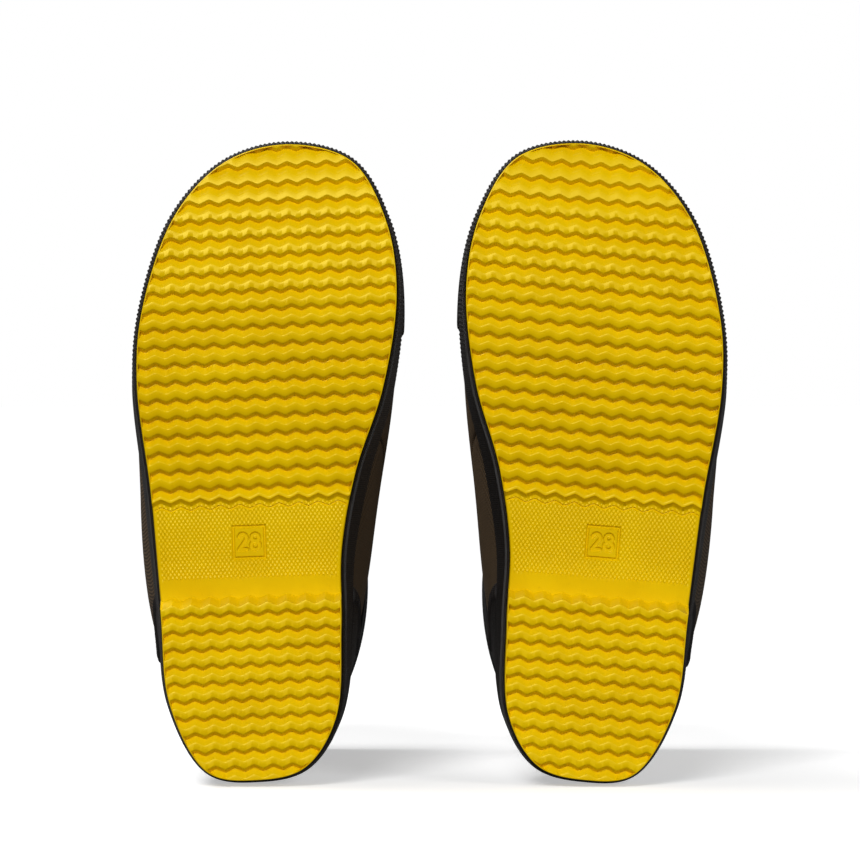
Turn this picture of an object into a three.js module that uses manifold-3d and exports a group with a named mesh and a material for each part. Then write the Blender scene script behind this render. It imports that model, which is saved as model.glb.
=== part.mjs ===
// A pair of child-size rubber deck boots, lying on their backs with the soles upright.
// X runs across the pair, Y from the soles towards the tops of the shafts, and Z up along the feet.
// Each boot is modelled as a right boot with its inner side towards +X, and mirrored for the left foot.
import * as THREE from 'three';
import { mergeVertices } from 'three/addons/utils/BufferGeometryUtils.js';
import Module from 'manifold-3d';

const wasm = await Module();
wasm.setup();

// ---------------------------------------------------------------- driving dimensions, in millimetres

// overall sizes of one boot
const soleLength = 192;
const forefootWidth = 79.5;
const bootHeight = 213;          // ground to the middle of the rim
const rimRise = 3;               // the rim is this much higher in front, and lower behind

// how the pair lies: where each heel touches the floor, and how far the toe falls outwards
const rightHeelX = -53.5;
const leftHeelX = 47;
const rightRoll = 2;             // degrees
const leftRoll = 4.5;
const rollSettle = 0.3;          // a rolled heel or rim reaches this much lower than an upright one

// outsole
const heelBlockLength = 56;
const breastSlope = 3;           // the front face of the heel block leans by this much
const waistLift = 8.8;           // floor of the recessed waist above the ground
const padStart = 85.8;           // where the forefoot pad has its full height
const padEdgeSlope = 1.5;
const treadDepth = 1.6;
const forefootRowPitch = 5.41;
const heelRowPitch = 5.19;
const treadBorder = 1.5;         // smooth edge round the tread
const grooveWidth = 2.6;
const firstForefootRow = 6.5;    // from the toe to the first groove
const firstHeelRow = 3.2;        // from the back of the heel to the first groove
const sizeFrameSide = 10.2;      // square frame pressed into the waist round the size number
const sizeFrameBar = 0.9;
const sizeFrameDepth = 0.6;

// pieces inside the outsole
const pocketWall = 6;            // rubber between a pocket and the side of the outsole
const wedgeDepth = 11;
const fillerDepth = 2.4;
const shankWidth = 14;
const shankThickness = 1.5;
const shankStart = 54;           // from the back of the heel
const shankEnd = 102;
const pocketRib = 2;             // rubber between one pocket and the next

// inside the boot
const boardThickness = 2;
const footbedThickness = 4;
const liningThickness = 1.2;

// upper and its overlays
const upperThickness = 1.8;
const foxingThickness = 1.3;
const foxingDrop = 4.5;          // how far the foxing laps down over the side of the outsole
const overlayThickness = 1.3;
const counterReach = 73;         // from the back of the heel along each edge
const counterTopRing = 5;
const toeGuardReach = 75;        // from the tip of the toe back along each edge
const toeGuardTopRing = 2;
const sideSeamReach = 120;       // from the back of the heel to the seam of vamp and quarter
const backstayWidth = 16;
const topBandHeight = 22;

// clearances
const seat = 0.3;                // between pieces that are bonded or rest on each other

// steps of the facets, and of the slopes measured on the upper
const columnCount = 30;
const profileSteps = 14;
const curveDivisions = 2000;
const placeStep = 0.002;
const ringStep = 0.05;
const weldDistance = 1e-4;
const overrun = 5;               // cutters reach this far past what they cut

// ---------------------------------------------------------------- curves

// A smooth line through knots, each [where, value], flat beyond both ends.
function smoothLine(knots) {
  const slope = knots.map((knot, i) => {
    const before = knots[Math.max(i - 1, 0)];
    const after = knots[Math.min(i + 1, knots.length - 1)];
    return (after[1] - before[1]) / (after[0] - before[0]);
  });
  return (where) => {
    const last = knots.length - 1;
    if (where <= knots[0][0]) return knots[0][1];
    if (where >= knots[last][0]) return knots[last][1];
    let i = 0;
    while (where > knots[i + 1][0]) i += 1;
    const span = knots[i + 1][0] - knots[i][0];
    const t = (where - knots[i][0]) / span;
    const rise = knots[i + 1][1] - knots[i][1];
    const a = slope[i] * span - rise;
    const b = rise - slope[i + 1] * span;
    return knots[i][1] + t * rise + t * (1 - t) * ((1 - t) * a + t * b);
  };
}

// Edge of the sole, in percent of the forefoot width (inner side positive) and of the sole length.
const solePoints = [
  [1, 0], [19, 1.6], [31.5, 9], [35, 23.5], [36, 35.5], [42.5, 48], [54, 61], [60.5, 76],
  [57.3, 87.5], [45, 97], [21, 100], [-3, 97.6], [-22.5, 89.6], [-36.5, 74.5], [-39.5, 63],
  [-36, 46], [-33.5, 27], [-31, 12], [-17.5, 1.4],
];
const soleCurve = new THREE.CatmullRomCurve3(
  solePoints.map(([x, z]) => new THREE.Vector3((x * forefootWidth) / 100, 0, (z * soleLength) / 100)),
  true, 'centripetal',
);
soleCurve.arcLengthDivisions = curveDivisions;
const edgeLength = soleCurve.getLength();

// A place round the boot runs from 0 at the back of the heel, by the inner side, to the toe at 0.5, to 1.
const wrap = (place) => ((place % 1) + 1) % 1;

function soleEdge(place, inset = 0) {
  const point = soleCurve.getPointAt(wrap(place));
  const along = soleCurve.getTangentAt(wrap(place));
  return new THREE.Vector3(point.x - along.z * inset, 0, point.z + along.x * inset);
}

// Ground face and top face of the outsole in side view: height at a share of the sole length.
const treadLine = smoothLine([
  [0.45, 7.2], [0.56, 3.6], [0.65, 1], [0.74, 0], [0.83, 1.3], [0.92, 4], [1, 8],
]);
const featherLine = smoothLine([
  [0, 20.5], [0.25, 19.5], [0.45, 14], [0.6, 10], [0.74, 8.2], [0.87, 9.4], [1, 14.5],
]);
const tread = (z) => treadLine(z / soleLength);
const feather = (z) => featherLine(z / soleLength);

// ---------------------------------------------------------------- surface of the upper

// The upper is a stack of closed rings. Each runs from a point on the back line to one on the front line, and
// is shaped between the sole edge and an oval. Ring 0 lies on the outsole and the last ring is the rim.
// Columns: front z (share of sole length), front height, back z, back height, share of oval, oval width, and
// how much of the full swell of the sides the ring has.
const footRings = [
  [1.000, 14.5, 0.0, 20.5, 0.00, 67, 0.0],
  [0.998, 29.0, 0.0, 32.0, 0.03, 67, 0.55],
  [0.962, 39.5, 0.2, 41.0, 0.10, 67, 0.95],
  [0.890, 47.5, 0.6, 48.0, 0.25, 67, 1.0],
  [0.815, 54.0, 1.4, 54.0, 0.45, 67, 0.9],
  [0.740, 62.0, 2.5, 62.0, 0.62, 67, 0.6],
  [0.668, 73.0, 4.0, 73.0, 0.80, 67, 0.3],
];
// The shaft's rings, with heights as a share of the way from the top of the foot to the rim.
const shaftRings = [
  [0.612, 0.105, 5.5, 0.110, 0.92, 66.5],
  [0.578, 0.245, 6.3, 0.250, 1.00, 66],
  [0.563, 0.460, 5.5, 0.470, 1.00, 65.5],
  [0.563, 0.730, 2.8, 0.740, 1.00, 65.5],
  [0.568, 1.000, 0.0, 1.000, 1.00, 65.5],
];
// The sides swell out beyond the sole edge, most of all beside the waist on the inner side.
const sideSwell = 1;
const innerFill = 4.5;
const outerFill = 1.5;
const fillLine = smoothLine([[0, 0], [0.2, 0.5], [0.45, 1], [0.65, 0.6], [0.85, 0.3], [1, 0]]);
const instepHeight = footRings[footRings.length - 1][1];
const rings = [
  ...footRings,
  ...shaftRings.map(([frontZ, frontShare, backZ, backShare, oval, width]) => [
    frontZ, instepHeight + frontShare * (bootHeight + rimRise - instepHeight),
    backZ, instepHeight + backShare * (bootHeight - rimRise - instepHeight), oval, width, 0,
  ]),
];
const rimRing = rings.length - 1;
const archRings = 3;             // the arch of the outsole's top has faded out at this ring
const ringValue = rings[0].map((_, column) => smoothLine(rings.map((ring, i) => [i, ring[column]])));
const [frontZ, frontHeight, backZ, backHeight, ovalShare, ovalWidth, swell] = ringValue;

// A point on the outer face of the upper. Below ring 0 it is on the side of the outsole, by millimetres.
function upperPoint(place, ring) {
  const level = Math.max(ring, 0);
  const edge = soleEdge(place);
  const angle = 2 * Math.PI * place;
  const side = Math.sin(angle);
  const share = THREE.MathUtils.lerp(edge.z / soleLength, (1 - Math.cos(angle)) / 2, ovalShare(level));
  const bulge = sideSwell + (side > 0 ? innerFill : outerFill) * fillLine(share);
  const mean = THREE.MathUtils.lerp(edge.x, (side * ovalWidth(level)) / 2, ovalShare(level));
  const x = mean + side * bulge * swell(level);
  const z = THREE.MathUtils.lerp(backZ(level), frontZ(level) * soleLength, share);
  const straight = THREE.MathUtils.lerp(backHeight(level), frontHeight(level), share);
  const arch = feather(z) - THREE.MathUtils.lerp(backHeight(0), frontHeight(0), share);
  const fade = Math.max(0, 1 - level / archRings) ** 2;
  return new THREE.Vector3(x, straight + arch * fade + seat + Math.min(ring, 0), z);
}

function upperNormal(place, ring) {
  const round = upperPoint(place + placeStep, ring).sub(upperPoint(place - placeStep, ring));
  const rise = ring < 0
    ? new THREE.Vector3(0, 1, 0)
    : upperPoint(place, ring + ringStep).sub(upperPoint(place, Math.max(ring - ringStep, 0)));
  return rise.cross(round).normalize();
}

function offsetPoint(place, ring, offset) {
  return upperPoint(place, ring).addScaledVector(upperNormal(place, ring), offset);
}

// ---------------------------------------------------------------- facets

const counterEdge = counterReach / edgeLength;
const seamEdge = sideSeamReach / edgeLength;
const guardEdge = toeGuardReach / edgeLength;
const stayEdge = backstayWidth / 2 / (Math.PI * ovalWidth(rimRing));
const pieceEdges = [
  stayEdge, counterEdge, seamEdge, 0.5 - guardEdge,
  0.5 + guardEdge, 1 - seamEdge, 1 - counterEdge, 1 - stayEdge,
];

// Columns stand closer at the toe and the heel, and one stands at the edge of every piece.
function columnPlaces() {
  const crowding = 0.04;
  const tooClose = 0.35 / columnCount;
  const even = Array.from({ length: columnCount }, (_, i) => i / columnCount)
    .map((u) => u - crowding * Math.sin(4 * Math.PI * u))
    .filter((place) => pieceEdges.every((edge) => Math.abs(edge - place) > tooClose));
  return [...even, ...pieceEdges].sort((a, b) => a - b);
}
const columns = columnPlaces();

// Columns from one place to another, going round past the heel where the first place is below 0.
function columnsBetween(from, to) {
  const inside = [...columns.map((place) => place - 1), ...columns]
    .filter((place) => place > from + placeStep / 2 && place < to - placeStep / 2);
  return [from, ...inside, to];
}

function rowsBetween(from, to) {
  const inside = rings.map((_, i) => i).filter((row) => row > from + ringStep && row < to - ringStep);
  return [from, ...inside, to];
}

// A closed sheet of the upper's shape between two offsets from its outer face.
function sheet(places, rows, inner, outer) {
  const closed = places === columns;
  const positions = [];
  const index = [];
  const across = places.length;
  for (const offset of [inner, outer]) {
    for (const row of rows) {
      for (const place of places) positions.push(...offsetPoint(place, row, offset).toArray());
    }
  }
  const at = (face, row, column) => (face * rows.length + row) * across + (column % across);
  const quad = (a, b, c, d) => index.push(a, b, c, a, c, d);
  const spans = closed ? across : across - 1;
  for (let i = 0; i < spans; i += 1) {
    for (let j = 0; j < rows.length - 1; j += 1) {
      quad(at(1, j, i), at(1, j + 1, i), at(1, j + 1, i + 1), at(1, j, i + 1));
      quad(at(0, j, i), at(0, j, i + 1), at(0, j + 1, i + 1), at(0, j + 1, i));
    }
    const top = rows.length - 1;
    quad(at(0, 0, i), at(1, 0, i), at(1, 0, i + 1), at(0, 0, i + 1));
    quad(at(1, top, i), at(0, top, i), at(0, top, i + 1), at(1, top, i + 1));
  }
  if (!closed) {
    for (let j = 0; j < rows.length - 1; j += 1) {
      quad(at(0, j, 0), at(0, j + 1, 0), at(1, j + 1, 0), at(1, j, 0));
      quad(at(1, j, spans), at(1, j + 1, spans), at(0, j + 1, spans), at(0, j, spans));
    }
  }
  const geometry = new THREE.BufferGeometry();
  geometry.setAttribute('position', new THREE.Float32BufferAttribute(positions, 3));
  geometry.setIndex(index);
  return geometry;
}

// ---------------------------------------------------------------- solids cut from slabs

function toSolid(geometry) {
  const bare = geometry.clone();
  bare.deleteAttribute('normal');
  bare.deleteAttribute('uv');
  const merged = mergeVertices(bare, weldDistance);
  return new wasm.Manifold(new wasm.Mesh({
    numProp: 3,
    vertProperties: new Float32Array(merged.attributes.position.array),
    triVerts: new Uint32Array(merged.index.array),
  }));
}

function toGeometry(solid) {
  const mesh = solid.getMesh();
  const geometry = new THREE.BufferGeometry();
  geometry.setAttribute('position', new THREE.BufferAttribute(mesh.vertProperties, 3));
  geometry.setIndex(new THREE.BufferAttribute(mesh.triVerts, 1));
  return geometry;
}

// An upright prism on a plan drawn in X and Z.
function planPrism(points) {
  const shape = new THREE.Shape(points.map((point) => new THREE.Vector2(point.x, point.z)));
  const height = bootHeight;
  const geometry = new THREE.ExtrudeGeometry(shape, { depth: height, bevelEnabled: false });
  geometry.rotateX(Math.PI / 2);
  geometry.translate(0, height / 2, 0);
  return toSolid(geometry);
}

// Prisms right across the boot on side views, each a list of [z, height].
function sidePrisms(outlines) {
  const shapes = outlines.map((outline) => new THREE.Shape(outline.map(([z, y]) => new THREE.Vector2(z, y))));
  const width = 3 * forefootWidth;
  const geometry = new THREE.ExtrudeGeometry(shapes, { depth: width, bevelEnabled: false });
  geometry.rotateY(-Math.PI / 2);
  geometry.translate(width / 2, 0, 0);
  return toSolid(geometry);
}

const insetPlan = (inset) => columns.map((place) => soleEdge(place, inset));

// Points of a line in side view from one z to another.
function trace(line, from, to) {
  return Array.from({ length: profileSteps + 1 }, (_, i) => from + ((to - from) * i) / profileSteps)
    .map((z) => [z, line(z)]);
}

// A slab inside the sole edge, between two heights above the feather line, from one z to another.
function slab(inset, low, high, from = -overrun, to = soleLength + overrun) {
  const bottom = trace((z) => feather(z) + low, from, to);
  const top = trace((z) => feather(z) + high, from, to).reverse();
  return planPrism(insetPlan(inset)).intersect(sidePrisms([[...bottom, ...top]]));
}

// ---------------------------------------------------------------- outsole and what it holds

function outsoleBlock() {
  const ground = [
    [-overrun, 0], [heelBlockLength - breastSlope, 0], [heelBlockLength, waistLift],
    [padStart - padEdgeSlope, waistLift], ...trace(tread, padStart, soleLength + overrun),
  ];
  const top = trace(feather, -overrun, soleLength + overrun).reverse();
  return planPrism(insetPlan(0)).intersect(sidePrisms([[...ground, ...top]]));
}

// Rows of ribs across the forefoot and the heel, separated by V grooves.
function treadGrooves() {
  const groove = (z, ground) => [
    [z - grooveWidth / 2, ground - treadDepth],
    [z, ground + treadDepth],
    [z + grooveWidth / 2, ground - treadDepth],
  ];
  const grooves = [];
  for (let z = soleLength - firstForefootRow; z > padStart + grooveWidth / 2; z -= forefootRowPitch) {
    grooves.push(groove(z, tread(z)));
  }
  for (let z = firstHeelRow; z < heelBlockLength - breastSlope - heelRowPitch / 2; z += heelRowPitch) {
    grooves.push(groove(z, 0));
  }
  return sidePrisms(grooves).intersect(planPrism(insetPlan(treadBorder)));
}

// The frame is pressed into the middle of the waist.
function sizeFrame() {
  const middle = (heelBlockLength + padStart) / 2;
  const square = (half) => [[-half, -half], [half, -half], [half, half], [-half, half]]
    .map(([x, z]) => new THREE.Vector3(x, 0, z + middle));
  const [low, high] = [waistLift - sizeFrameDepth, waistLift + sizeFrameDepth];
  const band = [[0, low], [soleLength, low], [soleLength, high], [0, high]];
  return planPrism(square(sizeFrameSide / 2))
    .subtract(planPrism(square(sizeFrameSide / 2 - sizeFrameBar)))
    .intersect(sidePrisms([band]));
}

// The three pockets in the top of the outsole follow each other along the foot.
const wedgeEnd = shankStart - pocketRib;
const fillerStart = shankEnd + pocketRib;

function shankBlank(clearance) {
  const half = shankWidth / 2 + clearance;
  const from = shankStart - clearance;
  const to = shankEnd + clearance;
  const plan = [[-half, from], [half, from], [half, to], [-half, to]]
    .map(([x, z]) => new THREE.Vector3(x, 0, z));
  const low = -(shankThickness + seat) - clearance;
  const high = clearance > 0 ? overrun : -seat;
  const bottom = trace((z) => feather(z) + low, from - overrun, to + overrun);
  const top = trace((z) => feather(z) + high, from - overrun, to + overrun).reverse();
  return planPrism(plan).intersect(sidePrisms([[...bottom, ...top]]));
}

function outsole() {
  return outsoleBlock()
    .subtract(treadGrooves())
    .subtract(sizeFrame())
    .subtract(slab(pocketWall, -wedgeDepth - seat, overrun, -overrun, wedgeEnd))
    .subtract(slab(pocketWall, -fillerDepth - seat, overrun, fillerStart))
    .subtract(shankBlank(seat));
}

const heelWedge = () => slab(pocketWall + seat, -wedgeDepth, -seat, -overrun, wedgeEnd - seat);
const forefootFiller = () => slab(pocketWall + seat, -fillerDepth, -seat, fillerStart + seat);

// ---------------------------------------------------------------- inside of the boot

const liningOuter = -(upperThickness + seat);
const liningInner = liningOuter - liningThickness;
const boardInset = -liningInner + 2 * seat;
const boardLow = seat;
const footbedLow = boardLow + boardThickness + seat;

const insoleBoard = () => slab(boardInset, boardLow, boardLow + boardThickness);
const footbed = () => slab(boardInset + seat, footbedLow, footbedLow + footbedThickness);
const lining = () => sheet(columns, rowsBetween(0, rimRing), liningInner, liningOuter);

// ---------------------------------------------------------------- upper

const seamGap = seat / 2 / edgeLength;
const ringRise = 12;             // rings of the foot stand about this far apart
const ringGap = seat / ringRise;
const meanHeight = (ring) => (frontHeight(ring) + backHeight(ring)) / 2;
const bandStart = rimRing - topBandHeight / (meanHeight(rimRing) - meanHeight(rimRing - 1));
function shell(from, to, rows, low, high) {
  return sheet(columnsBetween(from + seamGap, to - seamGap), rows, low, high);
}

const allRows = rowsBetween(0, rimRing);
const vamp = () => shell(seamEdge, 1 - seamEdge, allRows, -upperThickness, 0);
const medialQuarter = () => shell(0, seamEdge, allRows, -upperThickness, 0);
const lateralQuarter = () => shell(-seamEdge, 0, allRows, -upperThickness, 0);

const foxing = () => sheet(columns, [-foxingDrop, 0, 1], seat, seat + foxingThickness);
const topBand = () => sheet(columns, [bandStart, rimRing], seat, seat + foxingThickness);
const heelCounter = () => shell(
  -counterEdge, counterEdge, rowsBetween(1 + ringGap, counterTopRing), seat, seat + overlayThickness,
);
const toeGuard = () => shell(
  0.5 - guardEdge, 0.5 + guardEdge, rowsBetween(1 + ringGap, toeGuardTopRing), seat, seat + overlayThickness,
);
const backstay = () => shell(
  -stayEdge, stayEdge, rowsBetween(counterTopRing + ringGap, bandStart - ringGap),
  seat, seat + overlayThickness,
);

// ---------------------------------------------------------------- one boot

const finishes = {
  soleRubber: { color: 0xe8c800, roughness: 0.55, metalness: 0 },
  upperRubber: { color: 0x2d2420, roughness: 0.6, metalness: 0 },
  trimRubber: { color: 0x252122, roughness: 0.5, metalness: 0 },
  textile: { color: 0x3a3a40, roughness: 0.95, metalness: 0 },
  cushion: { color: 0x4a4a50, roughness: 0.9, metalness: 0 },
  board: { color: 0x9a8468, roughness: 0.9, metalness: 0 },
  foam: { color: 0xd8d2c4, roughness: 0.95, metalness: 0 },
  steel: { color: 0xa8aab0, roughness: 0.35, metalness: 0.9 },
};

const pieces = [
  ['outsole', () => toGeometry(outsole()), 'soleRubber'],
  ['heel_wedge', () => toGeometry(heelWedge()), 'foam'],
  ['forefoot_filler', () => toGeometry(forefootFiller()), 'foam'],
  ['shank', () => toGeometry(shankBlank(0)), 'steel'],
  ['insole_board', () => toGeometry(insoleBoard()), 'board'],
  ['footbed', () => toGeometry(footbed()), 'cushion'],
  ['lining', lining, 'textile'],
  ['vamp', vamp, 'upperRubber'],
  ['medial_quarter', medialQuarter, 'upperRubber'],
  ['lateral_quarter', lateralQuarter, 'upperRubber'],
  ['backstay', backstay, 'trimRubber'],
  ['heel_counter', heelCounter, 'trimRubber'],
  ['toe_guard', toeGuard, 'trimRubber'],
  ['foxing', foxing, 'trimRubber'],
  ['top_band', topBand, 'trimRubber'],
];

// mirror is 1 for the right boot and -1 for the left one.
function boot(side, mirror, heelX, roll) {
  const group = new THREE.Group();
  for (const [name, make, finish] of pieces) {
    const mesh = new THREE.Mesh(make(), new THREE.MeshStandardMaterial(finishes[finish]));
    mesh.name = `${side}_${name}`;
    group.add(mesh);
  }
  const lift = seat + foxingThickness + rollSettle;
  group.scale.x = mirror;
  group.rotation.y = -mirror * THREE.MathUtils.degToRad(roll);
  group.position.set(heelX, -(bootHeight + rimRise + seat) / 2, lift);
  return group;
}

const pair = new THREE.Group();
pair.add(boot('right', 1, rightHeelX, rightRoll));
pair.add(boot('left', -1, leftHeelX, leftRoll));

export default pair;
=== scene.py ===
"""Deck boots: a pair of child-size rubber boots lying on their backs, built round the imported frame.

Each boot is drawn once in its own millimetres: x towards its inner side, y from the ground face of the sole
into the boot, and z from the heel to the toe. Then it is placed in the frame, mirrored for the left foot.
"""

import math

import bpy
import numpy as np
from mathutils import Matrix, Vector


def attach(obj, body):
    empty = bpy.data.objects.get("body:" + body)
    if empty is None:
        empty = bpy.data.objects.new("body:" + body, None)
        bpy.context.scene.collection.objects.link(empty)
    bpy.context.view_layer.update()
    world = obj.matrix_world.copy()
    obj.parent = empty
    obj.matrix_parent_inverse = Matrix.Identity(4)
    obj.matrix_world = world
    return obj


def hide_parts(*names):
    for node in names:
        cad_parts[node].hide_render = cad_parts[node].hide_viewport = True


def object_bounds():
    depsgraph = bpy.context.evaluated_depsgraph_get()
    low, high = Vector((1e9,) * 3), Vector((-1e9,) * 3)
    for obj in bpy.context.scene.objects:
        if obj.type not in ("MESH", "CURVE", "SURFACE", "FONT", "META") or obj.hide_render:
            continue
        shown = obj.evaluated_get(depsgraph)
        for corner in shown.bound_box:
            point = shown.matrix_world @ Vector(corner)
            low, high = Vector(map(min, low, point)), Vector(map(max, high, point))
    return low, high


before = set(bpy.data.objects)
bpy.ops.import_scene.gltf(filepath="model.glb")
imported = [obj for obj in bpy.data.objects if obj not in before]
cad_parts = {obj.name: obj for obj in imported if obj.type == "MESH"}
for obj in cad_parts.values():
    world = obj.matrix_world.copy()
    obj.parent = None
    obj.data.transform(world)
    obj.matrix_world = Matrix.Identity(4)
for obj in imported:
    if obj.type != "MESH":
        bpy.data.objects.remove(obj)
cad_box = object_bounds()

# ---------------------------------------------------------------- camera
# A long lens stands two metres in front of the upright soles, just above the middle of their height, and
# looks a little down. It sees the soles square on and the floor only as a thin strip.

sole_plane = cad_box[0].y
camera_distance = 2.0
camera_height = 0.1224
aim = Vector((-0.00045, sole_plane, 0.1078))
view_width = 0.2598
sensor_width = 36.0

camera = bpy.data.objects.new("camera", bpy.data.cameras.new("camera"))
bpy.context.scene.collection.objects.link(camera)
camera.location = (aim.x, sole_plane - camera_distance, camera_height)
camera.rotation_mode = "QUATERNION"
camera.rotation_quaternion = (aim - camera.location).to_track_quat("-Z", "Y")
camera.data.sensor_width = sensor_width
camera.data.lens = sensor_width * camera_distance / view_width
camera.data.clip_start = 0.05
camera.data.clip_end = 100.0
bpy.context.scene.camera = camera

# ---------------------------------------------------------------- outsole
# One moulded unit of yellow rubber per boot: a heel block and a forefoot pad, both with zigzag ribs, and a
# recessed waist between them with a fine diamond grain and the size number in a square. It is carved out of
# one block: the air between the ribs, the waist and the pockets are taken out of it.

sole_length = 192.0
forefoot_width = 79.5
# the outline from the middle of the heel round the inner side, in hundredths of the width and the length
sole_points = np.array([
    [1, 0], [19, 1.6], [31.5, 9], [35, 23.5], [36, 35.5], [42.5, 48], [54, 61], [60.5, 76], [57.3, 87.5],
    [45, 97], [21, 100], [-3, 97.6], [-22.5, 89.6], [-36.5, 74.5], [-39.5, 63], [-36, 46], [-33.5, 27],
    [-31, 12], [-17.5, 1.4],
]) * [forefoot_width / 100, sole_length / 100]


def smooth_line(knots):
    """A smooth line through knots, each [where, value], flat beyond both ends."""
    where, value = np.array(knots, float).T
    before = np.maximum(np.arange(len(where)) - 1, 0)
    after = np.minimum(np.arange(len(where)) + 1, len(where) - 1)
    slope = (value[after] - value[before]) / (where[after] - where[before])

    def line(x):
        x = np.clip(x, where[0], where[-1])
        i = np.clip(np.searchsorted(where, x, side="right") - 1, 0, len(where) - 2)
        span = where[i + 1] - where[i]
        t = (x - where[i]) / span
        rise = value[i + 1] - value[i]
        a = slope[i] * span - rise
        b = rise - slope[i + 1] * span
        return value[i] + t * rise + t * (1 - t) * ((1 - t) * a + t * b)

    return line


def closed_curve(points, steps=80):
    """Points close together on a centripetal curve through the given ones, and how far along each lies."""
    runs = []
    for i in range(len(points)):
        p0, p1, p2, p3 = (points[(i + k - 1) % len(points)] for k in range(4))
        d0, d1, d2 = (math.dist(a, b) ** 0.5 for a, b in ((p0, p1), (p1, p2), (p2, p3)))
        out = ((p1 - p0) / d0 - (p2 - p0) / (d0 + d1) + (p2 - p1) / d1) * d1
        into = ((p2 - p1) / d1 - (p3 - p1) / (d1 + d2) + (p3 - p2) / d2) * d1
        t = (np.arange(steps) / steps)[:, None]
        square = 3 * (p2 - p1) - 2 * out - into
        cube = 2 * (p1 - p2) + out + into
        runs.append(p1 + out * t + square * t**2 + cube * t**3)
    run = np.concatenate(runs + [points[:1]])
    along = np.concatenate([[0], np.cumsum(np.hypot(*np.diff(run, axis=0).T))])
    return run, along


edge_run, edge_along = closed_curve(sole_points)
edge_length = edge_along[-1]


def sole_edge(place, inset=0.0):
    """x and z of the sole's edge, moved inwards by an inset. A place runs from 0 at the heel, by the inner
    side and the toe at 0.5, to 1."""
    step = 0.2
    at = np.mod(place, 1) * edge_length

    def spot(shift):
        where = np.mod(at + shift, edge_length)
        return [np.interp(where, edge_along, edge_run[:, k]) for k in (0, 1)]

    before, here, after = (spot(shift) for shift in (-step, 0, step))
    along = np.stack([after[0] - before[0], after[1] - before[1]])
    along = along / np.hypot(*along)
    return here[0] - along[1] * inset, here[1] + along[0] * inset


tread_line = smooth_line([[0.45, 7.2], [0.56, 3.6], [0.65, 1], [0.74, 0], [0.83, 1.3], [0.92, 4], [1, 8]])
feather_line = smooth_line([
    [0, 20.5], [0.25, 19.5], [0.45, 14], [0.6, 10], [0.74, 8.2], [0.87, 9.4], [1, 14.5],
])
pad_side_z = 70.0


def ground(z):
    """The height of the ground face: flat under the heel, and rolled under the forefoot."""
    return np.where(z < pad_side_z, 0.0, tread_line(z / sole_length))


def feather(z):
    """The height of the sole's upper edge, where the upper meets it."""
    return feather_line(z / sole_length)


def ring_solid(rings):
    """Points and faces of a closed solid from rings of equal length, the first and last of them flat."""
    count = len(rings[0])
    points = np.concatenate(rings)
    i = np.arange(count)
    after = (i + 1) % count
    faces = [list(i[::-1])]
    for k in range(len(rings) - 1):
        low, high = k * count, (k + 1) * count
        faces += np.stack([low + i, low + after, high + after, high + i], 1).tolist()
    faces.append(list((len(rings) - 1) * count + i))
    return points, faces


def field_solid(x, y, z, floor_y):
    """Points and faces of the solid between a field of heights and a flat face at floor_y."""
    rows, across = x.shape
    top = np.stack([x, y, z], -1).reshape(-1, 3)
    bottom = top.copy()
    bottom[:, 1] = floor_y
    at = np.arange(rows * across).reshape(rows, across)
    quads = np.stack([at[:-1, :-1], at[:-1, 1:], at[1:, 1:], at[1:, :-1]], -1).reshape(-1, 4)
    under = quads[:, ::-1] + rows * across
    rim = np.concatenate([at[0, :], at[1:, -1], at[-1, -2::-1], at[-2:0:-1, 0]])
    after = np.roll(rim, -1)
    walls = np.stack([after, rim, rim + rows * across, after + rows * across], 1)
    return np.concatenate([top, bottom]), quads.tolist() + under.tolist() + walls.tolist()


def solid_object(solid):
    """A passing object for carving, with its faces turned outwards."""
    mesh = bpy.data.meshes.new("blank")
    mesh.from_pydata(solid[0].tolist(), [], solid[1])
    corners = np.array([v.co for v in mesh.vertices])
    mesh.calc_loop_triangles()
    a, b, c = (corners[[t.vertices[k] for t in mesh.loop_triangles]] for k in range(3))
    if (a * np.cross(b, c)).sum() < 0:
        mesh.flip_normals()
    blank = bpy.data.objects.new("blank", mesh)
    bpy.context.scene.collection.objects.link(blank)
    return blank


def carved(blank, steps):
    """Points and faces of the blank after each step, an operation and a solid."""
    body = solid_object(blank)
    tools = []
    for operation, solid in steps:
        tool = solid_object(solid)
        tools.append(tool)
        cut = body.modifiers.new("cut", "BOOLEAN")
        cut.operation = operation
        cut.solver = "MANIFOLD"
        cut.object = tool
    bpy.context.view_layer.update()
    done = bpy.data.meshes.new_from_object(body.evaluated_get(bpy.context.evaluated_depsgraph_get()))
    points = np.array([v.co for v in done.vertices])
    faces = [list(p.vertices) for p in done.polygons]
    for used in [body] + tools:
        mesh = used.data
        bpy.data.objects.remove(used)
        bpy.data.meshes.remove(mesh)
    bpy.data.meshes.remove(done)
    return points, faces


outline_places = np.arange(480) / 480
outline_zero = np.zeros(len(outline_places))


def plan_ring(inset, height):
    """The sole's outline moved inwards, at a height that is a number or depends on z."""
    x, z = sole_edge(outline_places, inset)
    y = height(z) if callable(height) else outline_zero + height
    return np.stack([x, y, z], 1)


def side_prism(outline, half_width=60.0):
    """A prism across the boot on a side view, a list of (z, y)."""
    z, y = np.array(outline, float).T
    return ring_solid([np.stack([np.full(len(z), x), y, z], 1) for x in (-half_width, half_width)])


def traced(line, start, stop, steps=60):
    """Points (z, y) along a line of heights."""
    z = np.linspace(start, stop, steps + 1)
    return np.stack([z, line(z)], 1)


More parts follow.
